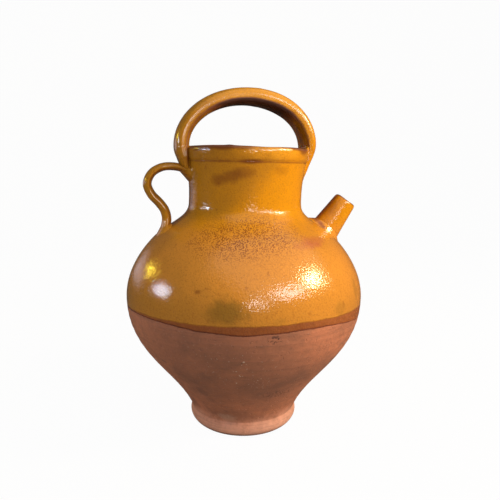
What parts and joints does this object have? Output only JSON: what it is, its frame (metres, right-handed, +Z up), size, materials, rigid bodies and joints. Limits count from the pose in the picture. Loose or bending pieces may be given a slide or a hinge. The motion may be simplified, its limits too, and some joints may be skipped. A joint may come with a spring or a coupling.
{
  "type": "water jar",
  "caption": "Round-bellied terracotta water jar with a bare lower half, a honey glaze above, an arched handle over the mouth, a side handle and a short pouring spout on the shoulder.",
  "frame": {"origin": "centre of the flat underside of the foot", "axes": "+Z up along the axis the body was thrown about, +X towards the spout, -X towards the side handle"},
  "size_m": [0.238, 0.238, 0.3408],
  "materials": {
    "fired_clay": "matte",
    "honey_glaze": "gloss",
    "handle_glaze": "gloss",
    "lute_glaze": "gloss"
  },
  "bodies": {
    "root": {"foot": "fired_clay", "lower_body": "fired_clay", "shoulder": "honey_glaze", "neck": "honey_glaze", "rim": "honey_glaze", "spout": "handle_glaze", "spout_lute": "lute_glaze", "arch_handle": "handle_glaze", "arch_handle_lute": "lute_glaze", "side_handle": "handle_glaze", "side_handle_lute": "lute_glaze", "shared_root_lute": "lute_glaze"}
  },
  "joints": []
}
